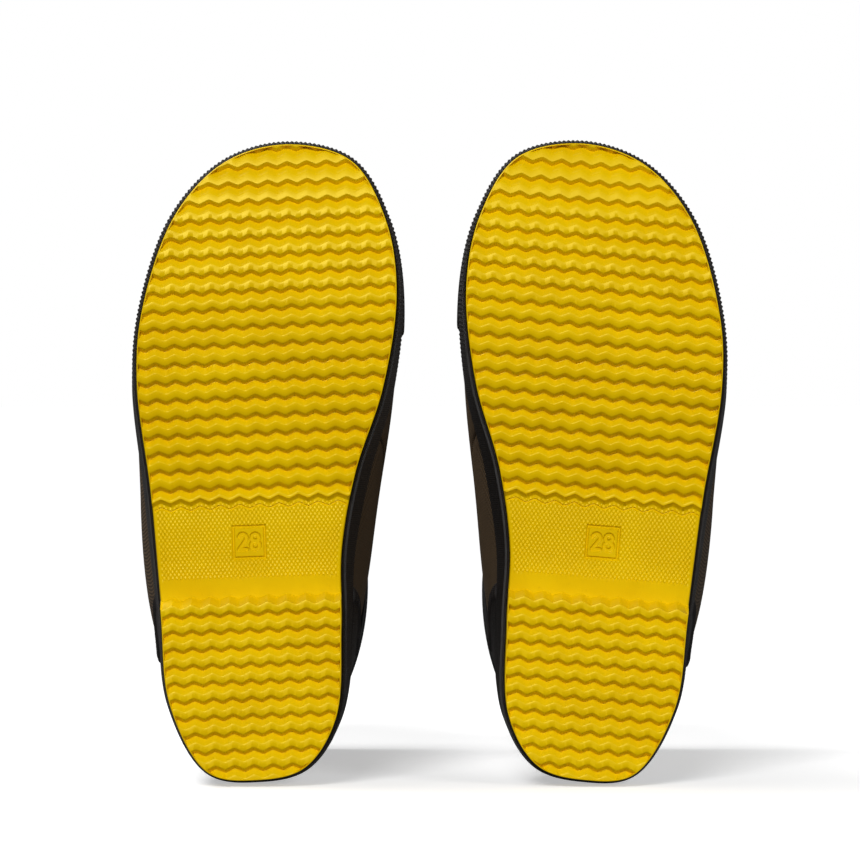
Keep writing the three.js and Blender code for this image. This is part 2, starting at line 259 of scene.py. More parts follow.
# the block: its lower edge is rounded off, and its ground face follows the roll of the forefoot
edge_round = 0.25
round_angles = np.radians([90, 68, 45, 22, 0])
beyond, overrun, hair = 12.0, 5.0, 0.01
tool_top = 2 * beyond + 12
block_rings = [plan_ring(edge_round + 0.15, -beyond), plan_ring(edge_round + 0.08, lambda z: ground(z) - 0.6)]
for angle in round_angles:
    rise = edge_round * (1 - math.sin(angle))
    block_rings.append(plan_ring(edge_round * (1 - math.cos(angle)), lambda z: ground(z) + rise))
block = ring_solid(block_rings + [plan_ring(0, tool_top - 2)])
profile = side_prism(np.concatenate([
    [[-overrun, 0], [pad_side_z, 0]],
    traced(lambda z: tread_line(z / sole_length), pad_side_z + hair, sole_length + overrun),
    traced(feather, sole_length + overrun, -overrun),
]))

# the ribs: rows of zigzags with a steep side towards the heel and a longer slope towards the toe. The section
# gives how far from the groove towards the toe, and the share of the depth there
rib_depth = 1.95
rib_section = np.array([[0, 1], [1.1, 0.09], [1.35, 0.01], [3.2, 0], [3.55, 0.06], [5.2, 0.97]])
rib_section_pitch = 5.41
crest_drop = 0.03
zigzag_height = 0.6
row_tilt = math.tan(math.radians(0.45))
apex_sharpness = 0.955
rows_of_ribs = np.arange(-3, 40)
columns_a_zigzag = 12
fore_zigzag = dict(pitch=5.97, apex=4.2)
heel_zigzag = dict(pitch=5.8, apex=0.0)


def zigzag(x, pitch, apex):
    """How far a row is moved towards the toe at x, in a zigzag with rounded tips."""
    swing = np.arcsin(apex_sharpness * np.cos(2 * np.pi * (x - apex) / pitch)) / math.asin(apex_sharpness)
    return zigzag_height * swing + row_tilt * x


def zigzag_columns(pitch, apex, half_width=56.0):
    """Columns that meet the tip of every zigzag."""
    x = apex + pitch / columns_a_zigzag * np.arange(-200, 200)
    return x[np.abs(x) < half_width]


def rib_field(first_groove, pitch, start, stop, style):
    """A solid that fills the air over the ribs, from one z to another."""
    grooves = first_groove - pitch * rows_of_ribs
    section = rib_section * [pitch / rib_section_pitch, rib_depth]
    v = (grooves[:, None] + section[:, 0]).ravel()
    depth = np.broadcast_to(section[:, 1], (len(grooves), len(section))).ravel()
    order = np.argsort(v)
    v, depth = v[order], depth[order]
    keep = (v > start) & (v < stop)
    v = np.concatenate([[start], v[keep], [stop]])
    depth = np.concatenate([[0], depth[keep], [0]])
    x, v = np.meshgrid(zigzag_columns(**style), v)
    z = v + zigzag(x, **style)
    y = ground(np.maximum(z, pad_side_z + 1) if start > pad_side_z else np.minimum(z, pad_side_z - 10))
    return field_solid(x, y + crest_drop + depth[:, None], z, -beyond)


# the grooves end at a thin border, which leans inwards from the ground face
draft_insets = (0.3, 0.32, 0.6, 0.65)
draft_heights = (-beyond - overrun, ground, lambda z: ground(z) + rib_depth + 0.3, tool_top)
draft = ring_solid([plan_ring(inset, height) for inset, height in zip(draft_insets, draft_heights)])
fore_groove, fore_pitch, fore_span = 184.9, 5.38, (79.0, 200.0)
heel_groove, heel_pitch, heel_span = 49.9, 5.19, (-10.0, 58.0)
fore_ribs = rib_field(fore_groove, fore_pitch, *fore_span, fore_zigzag)
heel_ribs = rib_field(heel_groove, heel_pitch, *heel_span, heel_zigzag)
ribs_in_edge = [carved(ribs, [("INTERSECT", draft)]) for ribs in (fore_ribs, heel_ribs)]

# the waist: a slanting zigzag breast at the heel, a smooth band, then the diamond grain up to the wavy edge
# of the pad
waist_floor = 8.8
breast_crest, breast_foot, band_middle = 53.2, 55.1, 60.0
grain_start, grain_stop = 61.3, 83.6
pad_foot, pad_top = 84.2, 85.3
grain_across, grain_along = 1.27, 1.9
grain_height = 0.19
grain_margin, grain_fade = 0.9, 0.5
columns_a_grain, rows_a_grain = 12, 16
waist_round = 0.6
number_centre = np.array([0.7, 71.8])
square_side, square_line = 9.5, 0.34
square_clear = 0.55
number_depth, half_stroke, soft_edge = 0.55, 0.6, 0.3
two_x, two_z, two_half_width, two_half_height = -1.95, 1.35, 1.15, 1.2
two_foot = [(-3.1, -2.15), (-0.75, -2.15)]
eight_x, eight_loops = 1.85, [(1.4, 1.05), (-1.0, 1.25)]


def line_gap(x, z, points):
    """The distance of (x, z) from a line through points."""
    gaps = []
    for (ax, az), (bx, bz) in zip(points[:-1], points[1:]):
        along = ((x - ax) * (bx - ax) + (z - az) * (bz - az)) / ((bx - ax) ** 2 + (bz - az) ** 2)
        along = np.clip(along, 0, 1)
        gaps.append(np.hypot(x - ax - along * (bx - ax), z - az - along * (bz - az)))
    return np.min(gaps, axis=0)


def number_field(x, z):
    """How deep the square and the size number 28 are cut at (x, z) from the middle of the square."""
    square = np.abs(np.maximum(np.abs(x), np.abs(z)) - square_side / 2) - square_line
    turn = np.radians(np.linspace(165, -38, 9))
    two = [(two_x + two_half_width * math.cos(a), two_z + two_half_height * math.sin(a)) for a in turn]
    upper, lower = (np.abs(np.hypot(x - eight_x, z - middle) - radius) for middle, radius in eight_loops)
    number = np.minimum(line_gap(x, z, two + two_foot), np.minimum(upper, lower)) - half_stroke
    return number_depth * np.clip(0.5 - np.minimum(square, number) / soft_edge, 0, 1)


beside_waist = edge_run[(edge_run[:, 1] > 40) & (edge_run[:, 1] < 100)]
side_run = [beside_waist[beside_waist[:, 0] * side > 0] for side in (1, -1)]
side_run = [run[np.argsort(run[:, 1])] for run in side_run]


def waist_field(number_side):
    """A solid that fills the air in the waist. number_side is -1 where the boot will be mirrored."""
    # the middle has even columns, twice as many round the number, and the sides reach out to the edge
    straight, number_reach, below_ground = 24.0, 5.4, -3.0
    fine = grain_across / columns_a_grain
    steps = np.arange(-int(straight / fine), int(straight / fine) + 1)
    middle = fine * steps[(np.abs(fine * steps - number_centre[0]) < number_reach) | (steps % 2 == 0)]
    outer = np.concatenate([np.linspace(0, 1, 32)[1:], [1.04, 1.12, 2.5]])
    row = np.arange(grain_start, grain_stop, grain_along / rows_a_grain)
    row = row[(np.abs(row - number_centre[1]) < number_reach) | (np.arange(len(row)) % 2 == 0)]
    wall = np.array([
        [below_ground, breast_crest - 0.8], [0.0, breast_crest], [waist_floor - 0.5, breast_foot - 0.15],
        [waist_floor, breast_foot + 0.2], [waist_floor, 57.5], [waist_floor, band_middle],
        [waist_floor, grain_start - 0.15],
    ])
    pad = np.array([
        [waist_floor, pad_foot - 0.3], [waist_floor - 0.4, pad_foot + 0.2], [7.2, pad_top],
        [below_ground, pad_top + 9.2],
    ])
    height = np.concatenate([wall[:, 0], np.full(len(row), waist_floor), pad[:, 0]])
    z_row = np.concatenate([wall[:, 1], row, pad[:, 1]])
    heel_wave = np.interp(z_row, [breast_crest, breast_foot, band_middle], [1, 0.8, 0])
    pad_wave = np.interp(z_row, [80.0, pad_foot - 0.3], [0, 1])

    def z_at(x):
        return z_row + heel_wave * zigzag(x, **heel_zigzag) + pad_wave * zigzag(x, **fore_zigzag)

    columns = [(np.full(len(z_row), x), z_at(x)) for x in middle]
    for sign, run in ((1, side_run[0]), (-1, side_run[1])):
        for share in outer:
            edge = np.abs(np.interp(z_row, run[:, 1], run[:, 0]))
            x = sign * (straight + share * (edge - straight))
            columns.append((x, z_at(x)))
    columns.sort(key=lambda column: column[0][0])
    x, z = (np.stack([column[k] for column in columns], 1) for k in (0, 1))
    edge = np.where(x > 0, *(np.abs(np.interp(z, run[:, 1], run[:, 0])) for run in side_run))
    gap = np.maximum(edge - np.abs(x), 0)
    in_grain = np.clip((gap - grain_margin) / grain_fade, 0, 1)
    in_grain = in_grain * (z > grain_start - 0.1) * (z < pad_foot - 0.4)
    across, along = (x - number_centre[0]) * number_side, z - number_centre[1]
    in_square = np.maximum(np.abs(across), np.abs(along)) < square_side / 2 + square_clear
    grain = np.cos(2 * np.pi * x / grain_across) * np.cos(2 * np.pi * (z - grain_start) / grain_along)
    lowered = np.clip(waist_round - gap, 0, waist_round)
    level = waist_floor - grain_height * grain * in_grain * ~in_square
    level = level + number_field(across, along) + waist_round - np.sqrt(waist_round**2 - lowered**2)
    flat = np.isclose(height, waist_floor)[:, None]
    return field_solid(x, np.where(flat, level, height[:, None]), z, below_ground)


# the pockets in its top for the heel wedge, the shank and the forefoot filler, with a seat of air round each
pocket_wall, seat = 6.0, 0.3
wedge_depth, wedge_stop = 11.0, 52.0
filler_depth, filler_start = 2.4, 104.0
shank_thickness, shank_pocket, shank_half_width = 1.5, (53.7, 102.3), 7.3
over_feather = 5


def pocket(depth, start, stop):
    """A pocket inside the outline, and the side view that limits it."""
    plan = ring_solid([plan_ring(pocket_wall, y) for y in (-beyond, tool_top)])
    low = traced(lambda z: feather(z) - depth - seat, start, stop)
    high = traced(lambda z: feather(z) + over_feather, stop, start)
    return carved(plan, [("INTERSECT", side_prism(np.concatenate([low, high])))])


shank_low = traced(lambda z: feather(z) - shank_thickness - 2 * seat, *shank_pocket)
shank_high = traced(lambda z: feather(z) + over_feather, *shank_pocket[::-1])
pockets = [
    pocket(wedge_depth, -overrun, wedge_stop),
    pocket(filler_depth, filler_start, sole_length + overrun),
    side_prism(np.concatenate([shank_low, shank_high]), half_width=shank_half_width),
]

# the small round pits left by the vents of the mould, near the widest line of the pad
pit_places = [(-27.3, 130.5), (44.3, 130.8)]
pit_radius, pit_depth, pit_corners = 0.95, 0.75, 20


def pit(x, z):
    """A short peg that narrows upwards, to be taken out of the ground face at (x, z)."""
    turn = np.arange(pit_corners) * 2 * np.pi / pit_corners
    y = float(ground(np.array(z)))
    rings = []
    for share, height in ((1.3, y - 2), (1, y + 0.15), (0.75, y + pit_depth)):
        radius = pit_radius * share
        rings.append(np.stack([x + radius * np.cos(turn), 0 * turn + height, z + radius * np.sin(turn)], 1))
    return ring_solid(rings)


# where each boot lies: the middle of its heel on the floor, and how far its toe falls outwards
heel_x = {"right": -53.5, "left": 47.0}
roll = {"right": math.radians(2), "left": math.radians(4.5)}
mirror = {"right": 1, "left": -1}
lift = 1.9


def placed(points, side):
    """Points of a boot, in its own millimetres, brought into the frame."""
    x, y, z = np.asarray(points, float).T
    across = x * math.cos(roll[side]) - z * math.sin(roll[side])
    up = z * math.cos(roll[side]) + x * math.sin(roll[side])
    along = heel_x[side] + mirror[side] * across
    return np.stack([along / 1000, y / 1000 + sole_plane, (up + lift) / 1000], 1)


def piece(side, name, solid, finish, slot, lay=None, sharp_angle=35.0):
    """Makes one piece of one boot from its points and faces. lay is a position in millimetres over the
    surface for each corner of each face, which the woven finishes follow."""
    points, faces = solid
    mesh = bpy.data.meshes.new(f"{side}_{name}_shape")
    mesh.from_pydata(placed(points, side).tolist(), [], [list(f) for f in faces])
    if lay is not None:
        layer = mesh.uv_layers.new(name="lay")
        layer.uv.foreach_set("vector", np.asarray(lay, np.float32).ravel())
    if mirror[side] < 0:
        mesh.flip_normals()
    mesh.shade_smooth()
    mesh.set_sharp_from_angle(angle=math.radians(sharp_angle))
    mesh.materials.append(finish)
    made = bpy.data.objects.new(f"{side}_{name}_shape", mesh)
    bpy.context.scene.collection.objects.link(made)
    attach(made, "root")
    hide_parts(f"{side}_{name}")
    return made


class Signal:
    """A value that varies over a surface, held by one socket of a material's nodes."""

    def __init__(self, tree, socket=None):
        self.tree = tree
        self.socket = socket

    def node(self, kind, settings=None, inputs=None, output=0):
        """Adds a node with its settings, then the values or links of its sockets."""
        made = self.tree.nodes.new("ShaderNode" + kind)
        for name, value in (settings or {}).items():
            setattr(made, name, value)
        for name, value in (inputs or {}).items():
            if isinstance(value, Signal):
                self.tree.links.new(value.socket, made.inputs[name])
            else:
                made.inputs[name].default_value = value
        return Signal(self.tree, made.outputs[output])

    def maths(self, operation, *values):
        return self.node("Math", {"operation": operation}, dict(enumerate(values)))

    def __add__(self, other):
        return self.maths("ADD", self, other)

    def __sub__(self, other):
        return self.maths("SUBTRACT", self, other)

    def __mul__(self, other):
        return self.maths("MULTIPLY", self, other)

    def __rsub__(self, other):
        return self.maths("SUBTRACT", other, self)

    __radd__ = __add__
    __rmul__ = __mul__

    def wave(self, length):
        """1 and -1 in turn, a full turn in each length."""
        return self.maths("COSINE", self * (2 * math.pi / length))

    def split(self):
        """The three numbers of a vector."""
        parts = self.tree.nodes.new("ShaderNodeSeparateXYZ")
        self.tree.links.new(self.socket, parts.inputs[0])
        return [Signal(self.tree, part) for part in parts.outputs]

    def clamped(self, low, high):
        """0 up to low, 1 from high, and a straight rise between them."""
        return self.node("MapRange", {}, {"Value": self, "From Min": low, "From Max": high})

    def mixed(self, first, second):
        """The second colour where this is 1, the first where it is 0."""
        return self.node("Mix", {"data_type": "RGBA"}, {0: self, 6: first, 7: second}, output=2)


def srgb(red, green, blue):
    """A colour from its 0 to 255 values."""
    levels = [v / 255 for v in (red, green, blue)]
    return tuple([v / 12.92 if v <= 0.04045 else ((v + 0.055) / 1.055) ** 2.4 for v in levels] + [1.0])


def new_finish(name, constants):
    """A material with its shader's constants set: returns it, its shader and a start for its signals."""
    material = bpy.data.materials.new(name)
    material.use_nodes = True
    shader = material.node_tree.nodes["Principled BSDF"]
    for socket, value in constants.items():
        shader.inputs[socket].default_value = value
    return material, shader, Signal(material.node_tree)


def joined(shader, **signals):
    """Links signals to the shader's sockets of the same names, with _ for a space."""
    for name, signal in signals.items():
        shader.id_data.links.new(signal.socket, shader.inputs[name.replace("_", " ")])


def bumped(height, depth):
    """A normal for a height from 0 to 1 that stands for a depth in millimetres."""
    return height.node("Bump", {}, {"Height": height, "Strength": 1.0, "Distance": depth / 1000})


def sole_rubber():
    """Glossy moulded yellow rubber, with a fine skin from the mould and faint clouds and specks of colour."""
    constants = {"Specular IOR Level": 0.4, "Specular Tint": (1.0, 0.88, 0.2, 1.0)}
    material, shader, start = new_finish("sole_rubber", constants)
    place = start.node("TexCoord", output=3)
    cloud = start.node("TexNoise", {}, {"Vector": place, "Scale": 55.0, "Detail": 3.0, "Roughness": 0.6})
    skin = start.node("TexNoise", {}, {"Vector": place, "Scale": 2400.0, "Detail": 2.0, "Roughness": 0.6})
    specks = start.node("TexNoise", {}, {"Vector": place, "Scale": 900.0, "Detail": 1.0}).clamped(0.69, 0.76)
    tint = cloud.clamped(0.35, 0.68).mixed(srgb(225, 184, 0), srgb(232, 193, 0))
    joined(
        shader,
        Base_Color=(specks * 0.35).mixed(tint, srgb(214, 170, 0)),
        Roughness=cloud * 0.1 + skin * 0.06 + 0.24,
        Normal=bumped(skin, 0.012),
    )
    return material


sides = ("right", "left")
sole_finish = sole_rubber()
for side in sides:
    steps = [("INTERSECT", profile)]
    steps += [("DIFFERENCE", ribs) for ribs in ribs_in_edge]
    steps += [("DIFFERENCE", waist_field(mirror[side]))]
    steps += [("DIFFERENCE", solid) for solid in pockets]
    steps += [("DIFFERENCE", pit(x, z)) for x, z in pit_places]
    piece(side, "outsole", carved(block, steps), sole_finish, "sole_rubber")

# ---------------------------------------------------------------- vamp and quarters
# The upper of each boot is dark brown rubber pressed on to woven cloth, so that a crossed weave stands out of
# its skin. The vamp covers the toes, the instep and the front of the shaft. Two quarters cover the sides and
# the back, and are bonded to the vamp on each side and to each other behind the heel.

# its shape is given by rings from the sole to the rim: z and y of the front, z and y of the back, the share
# of an oval in its outline, the oval's width, and the share of the swell at the sides. The z of the front is
# a share of the sole's length, and the y of a shaft ring is a share of the shaft
foot_rings = [
    [1.000, 14.5, 0.0, 20.5, 0.00, 67, 0.0],
    [0.998, 29.0, 0.0, 32.0, 0.03, 67, 0.55],
    [0.962, 39.5, 0.2, 41.0, 0.10, 67, 0.95],
    [0.890, 47.5, 0.6, 48.0, 0.25, 67, 1.0],
    [0.815, 54.0, 1.4, 54.0, 0.45, 67, 0.9],
    [0.740, 62.0, 2.5, 62.0, 0.62, 69, 0.6],
    [0.668, 73.0, 4.0, 73.0, 0.80, 69, 0.3],
]
shaft_rings = [
    [0.612, 0.105, 5.5, 0.110, 0.92, 68.5],
    [0.578, 0.245, 6.3, 0.250, 1.00, 67],
    [0.563, 0.460, 5.5, 0.470, 1.00, 65.5],
    [0.563, 0.730, 2.8, 0.740, 1.00, 64.5],
    [0.568, 1.000, 0.0, 1.000, 1.00, 63.5],
]
boot_height, rim_rise, instep_height = 213.0, 3.0, 73.0
for front_z, front, back_z, back, oval, width in shaft_rings:
    foot_rings.append([
        front_z, instep_height + front * (boot_height + rim_rise - instep_height),
        back_z, instep_height + back * (boot_height - rim_rise - instep_height), oval, width, 0.0,
    ])
rim_ring = len(foot_rings) - 1
ring_lines = [smooth_line([[i, ring[k]] for i, ring in enumerate(foot_rings)]) for k in range(7)]
side_swell, inner_fill, outer_fill = 1.0, 4.5, 1.5
arch_rings = 3
fill_line = smooth_line([[0, 0], [0.2, 0.5], [0.45, 1], [0.65, 0.6], [0.85, 0.3], [1, 0]])
# about how many millimetres one ring of the foot stands above the one before it
ring_rise = 12.0
fold_depth, fold_ring, fold_spread = 0.9, 7.0, 1.3
slack_depth, slack_ring, slack_spread = 0.55, 9.3, 1.6


def upper_point(place, ring):
    """A point on the outer face of the upper. A ring below 0 counts millimetres down the outsole's side."""
    level = np.maximum(ring, 0)
    front_z, front, back_z, back, oval, width, swell = (line(level) for line in ring_lines)
    edge_x, edge_z = sole_edge(place)
    side_way = np.sin(2 * np.pi * place)
    share = edge_z / sole_length * (1 - oval) + (1 - np.cos(2 * np.pi * place)) / 2 * oval
    bulge = side_swell + np.where(side_way > 0, inner_fill, outer_fill) * fill_line(share)
    x = edge_x * (1 - oval) + side_way * width / 2 * oval + side_way * bulge * swell
    z = back_z * (1 - share) + front_z * sole_length * share
    straight = back * (1 - share) + front * share
    arch = feather(z) - ring_lines[3](0) * (1 - share) - ring_lines[1](0) * share
    y = straight + arch * np.maximum(0, 1 - level / arch_rings) ** 2 + seat + np.minimum(ring, 0)
    return np.stack([x, y, z], -1)


def crease(place, ring):
    """Shallow folds across the front of the ankle and slack in the shaft, in millimetres."""
    front = np.clip(-np.cos(2 * np.pi * place), 0, 1) ** 1.5
    ankle = np.exp(-((ring - fold_ring) / fold_spread) ** 2)
    folds = np.sin(2.9 * ring + 1.2 * np.sin(2 * np.pi * place) + 0.6)
    slack = np.exp(-((ring - slack_ring) / slack_spread) ** 2) * np.sin(2 * np.pi * (3 * place + 0.13 * ring))
    return fold_depth * front * ankle * folds + slack_depth * slack


def upper_layer(place, ring, offset):
    """Points at an offset from the outer face of the upper, along its normal."""
    place_step, ring_step = 0.002, 0.05
    around = upper_point(place + place_step, ring) - upper_point(place - place_step, ring)
    rise = upper_point(place, ring + ring_step) - upper_point(place, np.maximum(ring - ring_step, 0))
    rise = np.where(np.asarray(ring)[..., None] < 0, [0.0, 1.0, 0.0], rise)
    normal = np.cross(rise, around)
    normal = normal / np.linalg.norm(normal, axis=-1, keepdims=True)
    return upper_point(place, ring) + normal * (offset + crease(place, ring))[..., None]


edge_steps = np.array([0, 0.12, 0.35, 0.65, 1.0])
least_share = 0.2


def eased(start, stop, count, edge):
    """Values from start to stop, close together near both ends where the edge of a piece is rounded."""
    near = edge * edge_steps
    between = np.linspace(start + edge, stop - edge, count + 2)[1:-1]
    return np.concatenate([start + near, between, stop - near[::-1]])


def edge_fall(value, edge):
    """The share of a piece's full thickness near its rounded edge."""
    gap = np.minimum(value - value.min(), value.max() - value) / edge
    return np.maximum(np.sqrt(np.clip(1 - (1 - np.clip(gap, 0, 1)) ** 2, 0, 1)), least_share)


def shell(places, rings, low, high, edge=0.8, pattern=None, closed=False):
    """A solid layer on the upper between two offsets, with rounded edges. pattern(place, ring) is added to
    its outer face, and closed is for one that runs all round. Returns the solid and its corners' lay."""
    fall = edge_fall(rings, edge / ring_rise)[:, None] * np.ones(len(places))
    if not closed:
        fall = fall * edge_fall(places, edge / edge_length)
    place, ring = np.meshgrid(places, rings)
    rows, across = place.shape
    outer_offset = low + (high - low) * fall
    if pattern is not None:
        outer_offset = outer_offset + pattern(place, ring) * fall
    outer = upper_layer(place, ring, outer_offset)
    inner = upper_layer(place, ring, np.full(place.shape, low))
    gaps = np.linalg.norm(np.diff(outer, axis=1), axis=2)
    middle = across // 2
    run = np.concatenate([np.zeros((rows, 1)), np.cumsum(gaps, axis=1)], axis=1)
    climb = np.concatenate([[0], np.cumsum(np.linalg.norm(np.diff(outer[:, middle], axis=0), axis=1))])
    lay = np.stack([run - run[:, [middle]], climb[:, None] * np.ones(across)], -1)
    lay = np.concatenate([lay, lay])
    count = across - 1 if closed else across
    at = np.arange(rows)[:, None] * count + np.arange(across) % count
    at = np.concatenate([at, at + rows * count])
    where = np.arange(2 * rows * across).reshape(2 * rows, across)

    def quads(grid):
        out, into = grid[:rows], grid[rows:]
        outside = np.stack([out[:-1, :-1], out[:-1, 1:], out[1:, 1:], out[1:, :-1]], -1)
        inside = np.stack([into[:-1, :-1], into[1:, :-1], into[1:, 1:], into[:-1, 1:]], -1)
        faces = [outside.reshape(-1, 4), inside.reshape(-1, 4)]
        faces.append(np.stack([out[0, :-1], into[0, :-1], into[0, 1:], out[0, 1:]], -1))
        faces.append(np.stack([out[-1, :-1], out[-1, 1:], into[-1, 1:], into[-1, :-1]], -1))
        if not closed:
            faces.append(np.stack([out[:-1, 0], out[1:, 0], into[1:, 0], into[:-1, 0]], -1))
            faces.append(np.stack([out[:-1, -1], into[:-1, -1], into[1:, -1], out[1:, -1]], -1))
        return np.concatenate(faces)

    points = np.concatenate([outer[:, :count].reshape(-1, 3), inner[:, :count].reshape(-1, 3)])
    # place runs from the heel by the inner side, so these faces look outwards once turned over
    faces = quads(at)[:, ::-1]
    corners = lay.reshape(-1, 2)[quads(where)[:, ::-1].ravel()]
    return (points, faces.tolist()), corners


def woven_rubber():
    """Matt dark brown rubber with crossed threads of cloth pressed through, their tops painted paler as a
    highlight.
    """
    material, shader, start = new_finish("upper_rubber", {"Specular IOR Level": 0.5})
    lay = start.node("UVMap", {"uv_map": "lay"}).split()
    place = start.node("TexCoord", output=3)
    wobble = start.node("TexNoise", {}, {"Vector": place, "Scale": 90.0, "Detail": 2.0}) * 0.3
    thread, slant = 1.5, 0.35
    one = (lay[1] + lay[0] * slant + wobble).wave(thread)
    other = (lay[0] - lay[1] * slant + wobble).wave(thread)
    weave = (one * other * 0.5 + 0.5).clamped(0.12, 0.9)
    cloud = start.node("TexNoise", {}, {"Vector": place, "Scale": 38.0, "Detail": 4.0})
    skin = start.node("TexNoise", {}, {"Vector": place, "Scale": 1500.0, "Detail": 2.0})
    low = cloud.mixed(srgb(38, 27, 13), srgb(48, 34, 17))
    # high is the paler colour on the tops of the threads: a painted highlight, while the weave's relief is
    # real bump
    high = cloud.mixed(srgb(110, 88, 60), srgb(128, 103, 73))
    joined(
        shader,
        Base_Color=weave.mixed(low, high),
        Roughness=0.6 - weave * 0.18 + skin * 0.1,
        Normal=bumped(weave + skin * 0.3, 0.3),
    )
    return material


def pair_of(name, made, finish, slot, **options):
    """The same piece for both boots, from a solid and its lay."""
    return [piece(side, name, made[0], finish, slot, made[1], **options) for side in sides]


upper_finish = woven_rubber()
upper_thickness, upper_edge = 1.8, 0.8
side_seam = 120 / edge_length
seam_gap = seat / 2 / edge_length
upper_rings = eased(0, rim_ring, 74, upper_edge / ring_rise)
seam_edge = upper_edge / edge_length
panels = {
    "vamp": (side_seam, 1 - side_seam, 96),
    "medial_quarter": (0.0, side_seam, 52),
    "lateral_quarter": (-side_seam, 0.0, 52),
}
for name, (start, stop, count) in panels.items():
    places = eased(start + seam_gap, stop - seam_gap, count, seam_edge)
    pair_of(name, shell(places, upper_rings, -upper_thickness, 0.0), upper_finish, "upper_rubber")

# ---------------------------------------------------------------- foxing
# A rubber strip wrapped round the joint of upper and outsole, and bonded to both. It laps a few millimetres
# down over the side of the sole. Round the toe it is pressed into upright ribs, elsewhere into a fine grain.

foxing_thickness, foxing_drop, foxing_edge = 1.3, 4.5, 0.7
foxing_rib_pitch, foxing_rib_height = 1.35, 0.42
rib_count = round(edge_length / foxing_rib_pitch)
ribs_start, ribs_fade = 118, 22
tip_start, tip_fade, tip_thinner = 165, 25, 0.45


def foxing_ribs(place):
    """Upright ribs that fade out behind the toe. The strip is a little thinner over the tip."""
    z = sole_edge(place)[1]
    at_toe = np.clip((z - ribs_start) / ribs_fade, 0, 1)
    wave = np.cos(2 * np.pi * place * rib_count)
    at_tip = np.clip((z - tip_start) / tip_fade, 0, 1)
    return foxing_rib_height * at_toe * (wave - 1) / 2 - tip_thinner * at_tip


def trim_rubber():
    """Smooth near-black rubber with a fine pressed grain whose tops are painted paler as glints, and a soft
    shine.
    """
    material, shader, start = new_finish("trim_rubber", {"Specular IOR Level": 0.55})
    lay = start.node("UVMap", {"uv_map": "lay"}).split()
    place = start.node("TexCoord", output=3)
    pitch, slant = 1.3, 0.6
    grain = (lay[0] + lay[1] * slant).wave(pitch) * (lay[0] - lay[1] * slant).wave(pitch)
    grain = (grain * 0.5 + 0.5).clamped(0.1, 0.8)
    cloud = start.node("TexNoise", {}, {"Vector": place, "Scale": 45.0, "Detail": 4.0})
    skin = start.node("TexNoise", {}, {"Vector": place, "Scale": 1300.0, "Detail": 2.0})
    # high is the paler colour on the tops of the grain: painted glints, while the grain's relief is real bump
    high = cloud.mixed(srgb(28, 24, 23), srgb(40, 35, 34))
    joined(
        shader,
        Base_Color=grain.mixed(srgb(14, 11, 11), high),
        Roughness=0.5 - grain * 0.14 + cloud * 0.12,
        Normal=bumped(grain + skin * 0.25, 0.16),
    )
    return material


trim_finish = trim_rubber()
foxing_places = np.arange(rib_count * 4 + 1) / (rib_count * 4)
foxing_rings = np.concatenate([
    -foxing_drop + foxing_edge * edge_steps, [-2.4, -1.2, 0], [0.15, 0.35, 0.6, 0.8],
    1 - foxing_edge / ring_rise * edge_steps[::-1],
])


def foxing_shell():
    """The strip's rows below ring 0 are in millimetres, so its rounding is worked out in millimetres too."""
    rise = np.where(foxing_rings < 0, foxing_rings, foxing_rings * ring_rise)
    fall = edge_fall(rise, foxing_edge)
    thickness = smooth_line(np.stack([foxing_rings, foxing_thickness * fall], 1))

    def pattern(place, ring):
        return thickness(ring) - foxing_thickness + foxing_ribs(place)

    unrounded = 1e-6
    return shell(foxing_places, foxing_rings, seat, seat + foxing_thickness, unrounded, pattern, closed=True)


pair_of("foxing", foxing_shell(), trim_finish, "trim_rubber")

# ---------------------------------------------------------------- toe guard, heel counter and backstay
# Three overlays of smooth rubber bonded to the upper: a bumper over the toe, a stiff cup round the heel whose
# front edges carry a row of short ribs, and a strip that covers the back seam up to the band at the rim.

overlay_thickness, overlay_edge = 1.3, 0.9
ring_gap = seat / ring_rise
counter_reach, toe_guard_reach = 73 / edge_length, 75 / edge_length
stay_half_width, band_height = 8, 22
stay_half = stay_half_width / (math.pi * shaft_rings[-1][5])
band_ring_rise = np.mean([foot_rings[-1][k] - foot_rings[-2][k] for k in (1, 3)])
band_start = rim_ring - band_height / band_ring_rise
counter_rib_start, counter_rib_stop, counter_rib_fade = 1.2, 5.2, 0.5
counter_rib_height, counter_rib_pitch = 0.6, 1.9


def counter_ribs(place, ring):
    """Short ribs in a row along both front edges of the heel counter."""
    gap = (counter_reach - np.abs(place)) * edge_length
    along_edge = np.clip((gap - counter_rib_start) / counter_rib_fade, 0, 1)
    along_edge = along_edge * np.clip((counter_rib_stop - gap) / counter_rib_fade, 0, 1)
    wave = np.cos(2 * np.pi * ring * ring_rise / counter_rib_pitch)
    return counter_rib_height * along_edge * (0.5 + 0.5 * wave)


overlays = {
    "toe_guard": (
        eased(0.5 - toe_guard_reach, 0.5 + toe_guard_reach, 110, overlay_edge / edge_length),
        eased(1 + ring_gap, 2, 8, overlay_edge / ring_rise), None,
    ),
    "heel_counter": (
        eased(-counter_reach, counter_reach, 220, overlay_edge / edge_length),
        eased(1 + ring_gap, 5, 110, overlay_edge / ring_rise), counter_ribs,
    ),
    "backstay": (
        eased(-stay_half, stay_half, 14, overlay_edge / edge_length),
        eased(5 + ring_gap, band_start - ring_gap, 50, overlay_edge / ring_rise), None,
    ),
}
for name, (places, rings, pattern) in overlays.items():
    made = shell(places, rings, seat, seat + overlay_thickness, overlay_edge, pattern)
    pair_of(name, made, trim_finish, "trim_rubber")

# ---------------------------------------------------------------- top band
# A rubber band bonded round the rim of the shaft to keep it from tearing. It has a rolled bead at its upper
# edge and two fine lines pressed round it.

bead_height, bead_gap, bead_spread = 0.7, 2.0, 1.1
line_depth, line_gaps, line_spread = 0.5, (5.5, 17.5), 0.45
all_round = np.arange(161) / 160


